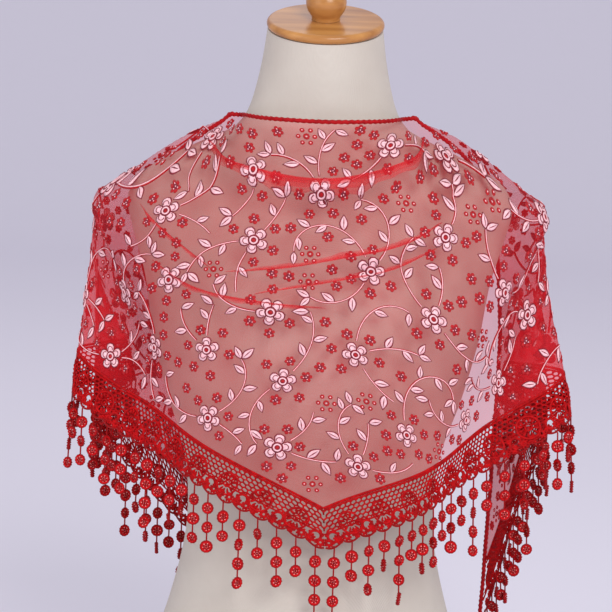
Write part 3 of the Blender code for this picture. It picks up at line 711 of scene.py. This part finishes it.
def smooth_curve(at, values, t):
    """Values between the given ones on a smooth curve, at an array of t."""
    rows = [(a, v) for a, v in zip(at, values)]
    return read_table(rows, t)[..., 0]


def border_flat(along, across, side):
    """A point of the lace border in the cut, as in the frame."""
    along, across = np.asarray(along, dtype=float), np.asarray(across, dtype=float)
    inner_u, inner_v = NET_TIP * along, NET_DEPTH * (1 - along)
    outer_u, outer_v = HALF_EDGE * along, CUT_HEIGHT * (1 - along)
    u = inner_u + (outer_u - inner_u) * across
    v = inner_v + (outer_v - inner_v) * across
    return np.stack(np.broadcast_arrays(side * u, v), -1)


def border_line(side, along, across, radius, shapes, lift=0.0, sides=4, closed=False):
    flat_cord(shapes, border_flat(along, across, side), radius, lift, 0, sides, closed, flatten=0.8)


BORDER_LENGTH = HALF_EDGE * BORDER_SLOPE
HONEYCOMB_CELL = 0.0062
HONEYCOMB_ROWS = 6
HONEYCOMB_STEP = 0.100  # shares of the border's width
HONEYCOMB_POINT = 0.034
HONEYCOMB_CORD = 0.00108


def honeycomb(shapes, side):
    """Hexagonal net of fine cord between the border's inner edge and its loops."""
    cell = HONEYCOMB_CELL / BORDER_LENGTH
    for row in range(HONEYCOMB_ROWS):
        top = 0.07 + row * HONEYCOMB_STEP
        shift = 0.5 * (row % 2)
        for k in range(int(0.985 / cell)):
            a = (k + shift) * cell
            knots = [top + HONEYCOMB_POINT, top, top + HONEYCOMB_POINT]
            border_line(side, [a, a + cell / 2, a + cell], knots, HONEYCOMB_CORD, shapes)
            border_line(side, [a, a], [top + HONEYCOMB_POINT, top + HONEYCOMB_STEP], HONEYCOMB_CORD, shapes)


def medallion(shapes, centre):
    """Flower of radiating petals inside two corded rings."""
    for turn in np.arange(12) * math.tau / 12:
        foot = centre + 0.0034 * heading(turn)
        flat_patch(shapes, turned_about(petal(0.0064, 0.0031, 6), turn, foot), 0.0012, 0.0010, 0)
    flat_patch(shapes, circle(0.0016, 6, centre), 0.0008, 0.0008, 0)
    flat_cord(shapes, circle(0.0031, 9, centre), 0.0008, 0.0010, 0, closed=True)
    flat_cord(shapes, circle(0.0104, 24, centre), 0.0014, 0.0008, 0, closed=True)


def knotted_loop(shapes, centre, radius):
    """Corded ring with a row of small knots round it."""
    flat_cord(shapes, circle(radius, 14, centre), 0.00150, 0.0002, 0, 5, closed=True)
    for spot in circle(radius + 0.0014, 8, centre):
        flat_patch(shapes, circle(0.0014, 5, spot), 0.0005, 0.0008, 0)


def lace_border(side, word):
    """Corded lace: edge cords, honeycomb net, medallions and a row of loops."""
    shapes = Shapes()
    fine = np.linspace(0.0, 0.995, 300)
    for across, radius in ((0.01, 0.0015), (0.07, 0.0010), (0.66, 0.0011)):
        border_line(side, fine, np.full(len(fine), across), radius, shapes)
    honeycomb(shapes, side)
    pitch = 1.0 / DROPS_PER_SIDE
    for k in range(DROPS_PER_SIDE):
        share = (k + 0.5) * pitch
        if share > 0.985:
            continue
        if k % 2:
            medallion(shapes, border_flat(share, 0.60, side))
        else:
            knotted_loop(shapes, border_flat(share, 0.80, side), 0.0050)
        for offset in (-0.27, 0.27):
            beside = share + offset * pitch
            knotted_loop(shapes, border_flat(min(beside, 0.985), 0.90, side), 0.0023)
    return shapes.make(f"lace_{word}", [MATERIALS["lace"]], "lace")


def rosette_mesh():
    """One corded rosette: lobed rim, ridged face and a sunk heart, on both faces."""
    rings = [(0.0, 0.45), (0.14, 0.40), (0.26, 0.20), (0.42, 0.75), (0.60, 0.40), (0.80, 0.85), (0.94, 0.50), (1.0, 0.0)]
    count = 24
    verts, faces, slots = [], [], []
    for face in (1, -1):
        start = len(verts)
        for share, height in rings[1:]:
            for i in range(count):
                turn = math.tau * i / count
                lobe = 1.0 + 0.022 * share * math.cos(12 * turn)
                ridge = 1.0 + 0.45 * math.cos(12 * turn) * (share > 0.4)
                verts.append((share * lobe * math.cos(turn), share * lobe * math.sin(turn), face * height * ridge))
        heart = len(verts)
        verts.append((0.0, 0.0, face * rings[0][1]))
        for ring in range(len(rings) - 2):
            for i in range(count):
                j = (i + 1) % count
                quad = [start + ring * count + i, start + ring * count + j,
                        start + (ring + 1) * count + j, start + (ring + 1) * count + i]
                faces.append(tuple(quad if face < 0 else reversed(quad)))
                # Pale glint faces, one in four on two rings, are painted highlights on the disc.
                glint = ring in (0, 2) and i % 4 == 2 * (ring == 2)
                slots.append(1 if glint else 0)
        for i in range(count):
            tri = [start + (i + 1) % count, start + i, heart]
            faces.append(tuple(tri if face < 0 else reversed(tri)))
            slots.append(0)
    return np.array(verts), faces, slots


ROSETTE = rosette_mesh()


def hanging_cord(shapes, places, radius, sides=5):
    """A thin round cord through places in space."""
    places = np.asarray(places)
    along = np.gradient(places, axis=0)
    along /= np.linalg.norm(along, axis=1, keepdims=True)
    first = np.cross(along, (0.31, 0.95, 0.05))
    first /= np.linalg.norm(first, axis=1, keepdims=True)
    second = np.cross(along, first)
    rings = [places + radius * (first * math.cos(t) + second * math.sin(t)) for t in np.arange(sides) * math.tau / sides]
    count = len(places)
    faces = [(i * sides + k, i * sides + (k + 1) % sides, (i + 1) * sides + (k + 1) % sides, (i + 1) * sides + k)
             for i in range(count - 1) for k in range(sides)]
    faces += [tuple(range(sides)), tuple((count - 1) * sides + k for k in reversed(range(sides)))]
    shapes.add(np.stack(rings, 1), faces, 0, np.full((count * sides, 2), (0.46, 0.0)))


def fringe(side, word):
    """Rosette drops along the border's edge, each at its own length and turn."""
    shapes = Shapes()
    edge = np.linspace(0.001, 0.985, 560)
    rim, _ = CLOTH.read(border_flat(edge, 1.0, side))
    inner, _ = CLOTH.read(border_flat(edge, 0.9, side))
    down = (rim - inner) / np.linalg.norm(rim - inner, axis=1, keepdims=True)
    scallop = np.abs(np.sin(math.pi * edge * DROPS_PER_SIDE)) ** 0.7
    hanging_cord(shapes, rim + down * (FOOTING_GAP + 0.0016 - SCALLOP * (1 - scallop))[:, None], 0.0010)
    for number in range(DROPS_PER_SIDE):
        share = (number + 0.5) / DROPS_PER_SIDE
        if share > 0.985:
            continue
        root, normal = CLOTH.read(border_flat(share, 1.0, side))
        above, _ = CLOTH.read(border_flat(share, 0.9, side))
        beside, _ = CLOTH.read(border_flat(share + 0.004, 1.0, side))
        way = (root - above) / np.linalg.norm(root - above)
        start = root + way * FOOTING_GAP
        foot = start + way * FOOTING_WIDTH
        along = beside - root
        along[2] = 0.0
        along /= np.linalg.norm(along)
        out = np.cross(along, (0, 0, 1.0))
        out *= 1.0 if np.dot(out, normal) > 0 else -1.0
        discs = 4 if number == 0 else DISCS_BY_TURN[number % len(DISCS_BY_TURN)]
        sway = CHANCE.uniform(-0.02, 0.02)
        stops = np.linspace(0, DROP_HEAD + discs * DISC_STEP - DISC_STEP * 0.5, 3 * discs + 2)
        line = [foot + (0, 0, -s) + out * (s * DROP_LEAN) + along * sway * s for s in stops]
        hanging_cord(shapes, [start] + line, 0.00075)
        for k in range(discs):
            s = DROP_HEAD + DISC_STEP * (k + 0.48)
            centre = foot + (0, 0, -s) + out * (s * DROP_LEAN) + along * sway * s
            yaw = CHANCE.gauss(0, 0.42) if CHANCE.random() < 0.82 else CHANCE.uniform(0.9, 2.2)
            tip = CHANCE.gauss(0, 0.10)
            x_way = along * math.cos(yaw) + out * math.sin(yaw)
            z_way = np.cross(x_way, (0, 0, 1.0)) * math.cos(tip) + np.array((0, 0, 1.0)) * math.sin(tip)
            y_way = np.cross(z_way, x_way)
            radius = DISC_RADIUS * CHANCE.uniform(0.93, 1.05)
            verts, faces, slots = ROSETTE
            local = verts * (radius, radius, 0.0016)
            spin = CHANCE.uniform(0, 1)
            c, s_ = math.cos(spin), math.sin(spin)
            x = local[:, 0] * c - local[:, 1] * s_
            y = local[:, 0] * s_ + local[:, 1] * c
            # Distance from the disc's middle, which picks the painted light and dark rings of the rosette finish.
            shares = np.stack([np.hypot(verts[:, 0], verts[:, 1]), np.zeros(len(verts))], 1)
            shapes.add(centre + x[:, None] * x_way + y[:, None] * y_way + local[:, 2:] * z_way, faces, slots, shares)
    return shapes.make(f"fringe_{word}", [MATERIALS["rosette"], MATERIALS["glint"]], "fringe")


def hem_roll():
    """Rolled hem along the long edge, whipped over with thread."""
    shapes = Shapes()
    count, sides = 1100, 8
    u = np.linspace(-0.690, 0.690, count)
    edge, normal = CLOTH.read(np.stack([u, np.zeros(count)], 1))
    below, _ = CLOTH.read(np.stack([u, np.full(count, 0.004)], 1))
    up = (edge - below) / np.linalg.norm(edge - below, axis=1, keepdims=True)
    centre = edge + up * 0.0018
    rings = []
    for k in range(sides):
        turn = math.tau * k / sides
        twist = np.cos(turn + np.arange(count) * (math.tau / 4.0))
        radius = (0.0020 + 0.00036 * twist)[:, None]
        rings.append(centre + radius * (normal * math.cos(turn) + up * math.sin(turn)))
    faces = [(i * sides + k, i * sides + (k + 1) % sides, (i + 1) * sides + (k + 1) % sides, (i + 1) * sides + k)
             for i in range(count - 1) for k in range(sides)]
    faces += [tuple(range(sides)), tuple((count - 1) * sides + k for k in reversed(range(sides)))]
    shapes.add(np.stack(rings, 1), faces)
    return shapes.make("hem_whipped", [MATERIALS["hem"]], "lace")


def form_body():
    """Smooth linen torso through the frame's own sections."""
    sides = 96
    heights = np.concatenate([[0.0, 0.002, 0.006], np.linspace(0.02, FORM_SECTIONS[-1][0], 90)])
    half_x, front, back, middle = np.moveaxis(read_table(FORM_SECTIONS, heights), -1, 0)
    turn = math.tau * np.arange(sides) / sides
    depth = np.where(np.sin(turn)[None] < 0, front[:, None], back[:, None])
    x = half_x[:, None] * np.cos(turn)[None]
    y = middle[:, None] + depth * np.sin(turn)[None]
    z = np.repeat(heights[:, None], sides, 1)
    z = z + y * math.tan(NECK_TILT) * smooth_step(TILT_FROM, FORM_SECTIONS[-1][0], z)
    faces = [(i * sides + k, i * sides + (k + 1) % sides, (i + 1) * sides + (k + 1) % sides, (i + 1) * sides + k)
             for i in range(len(heights) - 1) for k in range(sides)]
    faces.append(tuple(reversed(range(sides))))
    faces.append(tuple((len(heights) - 1) * sides + k for k in range(sides)))
    shapes = Shapes()
    shapes.add(np.stack([x, y, z], -1), faces)
    made = shapes.make("form_linen", [MATERIALS["linen"]], "linen")
    made.data.set_sharp_from_angle(angle=math.radians(40))
    return made


def turned(name, profile):
    """A smooth wooden turning from (radius, height) pairs, tilted like the neck's top."""
    top_z, _, _, _, middle = FORM_SECTIONS[-1]
    seat = np.array((0.0, middle, top_z + middle * math.tan(NECK_TILT)))
    axis = np.array((0.0, -math.sin(NECK_TILT), math.cos(NECK_TILT)))
    depth_axis = np.array((0.0, math.cos(NECK_TILT), math.sin(NECK_TILT)))
    sides = 72
    rings = []
    for radius, height in profile:
        turn = math.tau * np.arange(sides)[:, None] / sides
        rings.append(seat + axis * height + radius * (np.cos(turn) * (1.0, 0, 0) + np.sin(turn) * depth_axis))
    faces = [(i * sides + k, i * sides + (k + 1) % sides, (i + 1) * sides + (k + 1) % sides, (i + 1) * sides + k)
             for i in range(len(profile) - 1) for k in range(sides)]
    faces.append(tuple(reversed(range(sides))))
    faces.append(tuple((len(profile) - 1) * sides + k for k in range(sides)))
    shapes = Shapes()
    shapes.add(np.stack(rings), faces)
    made = shapes.make(name, [MATERIALS["wood"]], "wood")
    made.data.set_sharp_from_angle(angle=math.radians(50))
    return made


def rounded_edge(radius, low, high, steps=8):
    """Profile of a disc with a full round rim."""
    half = (high - low) / 2
    turn = np.linspace(-math.pi / 2, math.pi / 2, 2 * steps + 1)
    return [(radius - half + half * math.cos(t), low + half + half * math.sin(t)) for t in turn]


def node_links(material):
    tree = material.node_tree
    return tree.nodes, tree.links


def new_material(name, colour, roughness):
    made = bpy.data.materials.new(name)
    made.use_nodes = True
    shader = made.node_tree.nodes["Principled BSDF"]
    shader.inputs["Base Color"].default_value = (*colour, 1.0)
    shader.inputs["Roughness"].default_value = roughness
    return made, shader


def varied_colour(material, shader, colours, scale, detail=4.0, stretch=(1, 1, 1), coordinates="Object"):
    """Colour that drifts between several tones by noise."""
    nodes, links = node_links(material)
    where = nodes.new("ShaderNodeTexCoord")
    mapping = nodes.new("ShaderNodeMapping")
    mapping.inputs["Scale"].default_value = stretch
    noise = nodes.new("ShaderNodeTexNoise")
    noise.inputs["Scale"].default_value = scale
    noise.inputs["Detail"].default_value = detail
    ramp = nodes.new("ShaderNodeValToRGB")
    ramp.color_ramp.elements[0].position = 0.30
    ramp.color_ramp.elements[0].color = (*colours[0], 1.0)
    ramp.color_ramp.elements[1].position = 0.70
    ramp.color_ramp.elements[1].color = (*colours[-1], 1.0)
    links.new(where.outputs[coordinates], mapping.inputs["Vector"])
    links.new(mapping.outputs["Vector"], noise.inputs["Vector"])
    links.new(noise.outputs["Fac"], ramp.inputs["Fac"])
    links.new(ramp.outputs["Color"], shader.inputs["Base Color"])
    return noise, mapping


def thread_bump(material, shader, scale, strength, distance, coordinates="Object"):
    """Fine thread relief from two crossed bands."""
    nodes, links = node_links(material)
    where = nodes.new("ShaderNodeTexCoord")
    heights = []
    for axis in ("X", "Y"):
        wave = nodes.new("ShaderNodeTexWave")
        wave.bands_direction = axis
        wave.inputs["Scale"].default_value = scale
        wave.inputs["Distortion"].default_value = 1.2
        links.new(where.outputs[coordinates], wave.inputs["Vector"])
        heights.append(wave.outputs["Fac"])
    both = nodes.new("ShaderNodeMath")
    both.operation = "MAXIMUM"
    links.new(heights[0], both.inputs[0])
    links.new(heights[1], both.inputs[1])
    bump = nodes.new("ShaderNodeBump")
    bump.inputs["Strength"].default_value = strength
    bump.inputs["Distance"].default_value = distance
    links.new(both.outputs["Value"], bump.inputs["Height"])
    links.new(bump.outputs["Normal"], shader.inputs["Normal"])


def make_materials():
    """Every finish, by name."""
    made = {}
    for name, alpha in [(f"net_{i}", a) for i, a in enumerate(NET_ALPHAS)] + [("net_tuck", 0.42)]:
        net, shader = new_material(name, (0.58, 0.012, 0.020), 0.6)
        varied_colour(net, shader, [(0.62, 0.010, 0.018), (0.76, 0.020, 0.030)], 26.0)
        shader.inputs["Alpha"].default_value = alpha
        shader.inputs["Specular IOR Level"].default_value = 0.08
        made[name] = net
    for name, colours, roughness in (
        ("embroidery_pink", [(0.88, 0.43, 0.47), (0.97, 0.65, 0.68)], 0.45),
        ("embroidery_wine", [(0.16, 0.008, 0.020), (0.30, 0.015, 0.030)], 0.5),
        ("embroidery_red", [(0.34, 0.002, 0.006), (0.54, 0.005, 0.010)], 0.5),
    ):
        stitched, shader = new_material(name, colours[0], roughness)
        varied_colour(stitched, shader, colours, 420.0)
        thread_bump(stitched, shader, 900.0, 0.35, 0.0003, "UV")
        shader.inputs["Specular IOR Level"].default_value = 0.35
        made[name] = stitched
    for name, colours in (
        ("lace", [(0.28, 0.0005, 0.002), (0.58, 0.001, 0.003)]),
        ("rosette", [(0.30, 0.0005, 0.002), (0.60, 0.001, 0.003)]),
        ("hem", [(0.30, 0.002, 0.005), (0.50, 0.006, 0.010)]),
        # glint: pale finish for the painted highlights on the fringe discs
        ("glint", [(0.86, 0.20, 0.20), (0.95, 0.42, 0.40)]),
    ):
        corded, shader = new_material(name, colours[0], 0.5)
        varied_colour(corded, shader, colours, 260.0)
        thread_bump(corded, shader, 700.0, 0.45, 0.0004)
        shader.inputs["Specular IOR Level"].default_value = 0.14
        made[name] = corded
    # The fringe discs' colour by distance from the middle: the light rings are painted highlights, the dark gap
    # between them and the dark middle are painted shade, and the dark rim is the disc's own outline.
    rosette = made["rosette"]
    nodes, links = node_links(rosette)
    shader = nodes["Principled BSDF"]
    shader.inputs["Roughness"].default_value = 0.38
    where = nodes.new("ShaderNodeUVMap")
    where.uv_map = "cut"
    across = nodes.new("ShaderNodeSeparateXYZ")
    ramp = nodes.new("ShaderNodeValToRGB")
    stops = ramp.color_ramp.elements
    stops[0].position, stops[0].color = 0.10, (0.10, 0.001, 0.002, 1.0)
    stops[1].position, stops[1].color = 0.95, (0.30, 0.002, 0.004, 1.0)
    for place, colour in ((0.22, (0.52, 0.002, 0.004, 1.0)), (0.44, (0.26, 0.002, 0.003, 1.0)),
                          (0.62, (0.68, 0.004, 0.007, 1.0)), (0.80, (0.50, 0.002, 0.004, 1.0))):
        stops.new(place).color = colour
    links.new(where.outputs["UV"], across.inputs["Vector"])
    links.new(across.outputs["X"], ramp.inputs["Fac"])
    links.new(ramp.outputs["Color"], shader.inputs["Base Color"])
    linen, shader = new_material("linen", (0.60, 0.55, 0.47), 0.9)
    varied_colour(linen, shader, [(0.525, 0.470, 0.405), (0.585, 0.535, 0.465)], 16.0)
    thread_bump(linen, shader, 420.0, 0.30, 0.0005)
    shader.inputs["Sheen Weight"].default_value = 0.1
    made["linen"] = linen
    wood, shader = new_material("wood", (0.55, 0.29, 0.11), 0.28)
    varied_colour(wood, shader, [(0.34, 0.130, 0.030), (0.58, 0.27, 0.075)], 9.0, 8.0, (1.0, 9.0, 9.0))
    shader.inputs["Coat Weight"].default_value = 0.12
    shader.inputs["Coat Roughness"].default_value = 0.15
    shader.inputs["Specular IOR Level"].default_value = 0.35
    made["wood"] = wood
    return made


MATERIALS = make_materials()


def dress_form():
    """The form's smooth torso, neck cap and knob."""
    body = form_body()
    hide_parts("form_body")
    low, high = 0.0003, 0.0003 + CAP_THICK
    cap = turned("form_cap", rounded_edge(CAP_RADIUS, low, high))
    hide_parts("form_neck_cap")
    shape = [(0.0, 0.72), (0.06, 0.70), (0.15, 0.78), (0.28, 0.92), (0.42, 1.0), (0.56, 1.02),
             (0.70, 0.98), (0.84, 0.85), (0.94, 0.62), (0.99, 0.34), (1.0, 0.12)]
    foot = high + 0.0003
    knob = turned("form_knob", [(KNOB_RADIUS * r, foot + KNOB_HEIGHT * h) for h, r in shape])
    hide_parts("form_cap_knob")


def shawl():
    """The whole shawl: one hung sheet and what is sewn to it."""
    net = net_shell()
    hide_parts("shawl_net_front", "shawl_net_right_side", "shawl_net_right_tail",
                "shawl_net_left_side", "shawl_net_left_tail")
    hem = hem_roll()
    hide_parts("hem_roll_front", "hem_roll_right", "hem_roll_left")
    sewn_on = embroidery() + [net_tucks(), hem]
    for side, word in ((1, "right"), (-1, "left")):
        lace = lace_border(side, word)
        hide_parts(*(f"lace_border_{word}_{part}" for part in ("front", "side", "tail")))
        drops = fringe(side, word)
        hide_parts(*(f"fringe_{word}_{part}" for part in ("front", "side", "tail")))
        sewn_on += [lace, drops]


SWEEP_START = 5.2  # where the floor starts to curve up, well behind the form
SWEEP_RADIUS = 2.6


def studio():
    """Pale floor and soft lights."""
    turns = np.linspace(-math.pi / 2, 0, 25)
    profile = [(-7.0, 0.0)]
    profile += [(SWEEP_START + SWEEP_RADIUS * math.cos(t), SWEEP_RADIUS * (1 + math.sin(t))) for t in turns]
    profile.append((SWEEP_START + SWEEP_RADIUS, 6.0))
    verts = [(x, y, z - 0.0005) for y, z in profile for x in (-8.0, 8.0)]
    faces = [(2 * i, 2 * i + 1, 2 * i + 3, 2 * i + 2) for i in range(len(profile) - 1)]
    sweep = bpy.data.meshes.new("backdrop")
    sweep.from_pydata(verts, [], faces)
    sweep.shade_smooth()
    floor = bpy.data.objects.new("backdrop", sweep)
    bpy.context.scene.collection.objects.link(floor)
    plain, shader = new_material("backdrop_paper", (0.84, 0.81, 0.89), 0.95)
    shader.inputs["Specular IOR Level"].default_value = 0.0
    sweep.materials.append(plain)
    world = bpy.data.worlds.new("studio")
    bpy.context.scene.world = world
    world.use_nodes = True
    sky = world.node_tree.nodes["Background"]
    sky.inputs["Color"].default_value = (0.60, 0.595, 0.65, 1.0)
    sky.inputs["Strength"].default_value = 1.05
    for name, place, size, power in (
        ("key", (0.9, -2.5, 1.8), 1.4, 49.0),
        ("fill", (-2.0, -1.7, 1.2), 1.8, 13.0),
        ("back", (-0.6, 2.4, 2.9), 1.6, 6.0),
    ):
        light = bpy.data.lights.new(name, "AREA")
        light.energy = power
        light.size = size
        holder = bpy.data.objects.new(name, light)
        holder.location = place
        holder.rotation_euler = (Vector((0, 0, 0.4)) - Vector(place)).to_track_quat("-Z", "Y").to_euler()
        bpy.context.scene.collection.objects.link(holder)


CAMERA_ELEVATION = math.radians(6.0)
CAMERA_ROLL = math.radians(1.8)  # the photo leans clockwise
CAMERA_DISTANCE = 2.4
CAMERA_AIM = Vector((-0.010, 0.0, 0.413))
FRAME_WIDTH = 0.575  # width of the view at the form


def camera():
    lens = bpy.data.cameras.new("camera")
    lens.sensor_width = 36.0
    lens.lens = 36.0 * CAMERA_DISTANCE / FRAME_WIDTH
    holder = bpy.data.objects.new("camera", lens)
    away = Vector((0.0, -math.cos(CAMERA_ELEVATION), math.sin(CAMERA_ELEVATION)))
    holder.location = CAMERA_AIM + away * CAMERA_DISTANCE
    level = (-away).to_track_quat("-Z", "Y").to_matrix().to_4x4()
    turn = Matrix.Rotation(CAMERA_ROLL, 4, away)
    holder.rotation_euler = (turn @ level).to_euler()
    bpy.context.scene.collection.objects.link(holder)
    bpy.context.scene.camera = holder


bpy.context.scene.view_settings.view_transform = "Standard"
camera()
studio()
dress_form()
shawl()
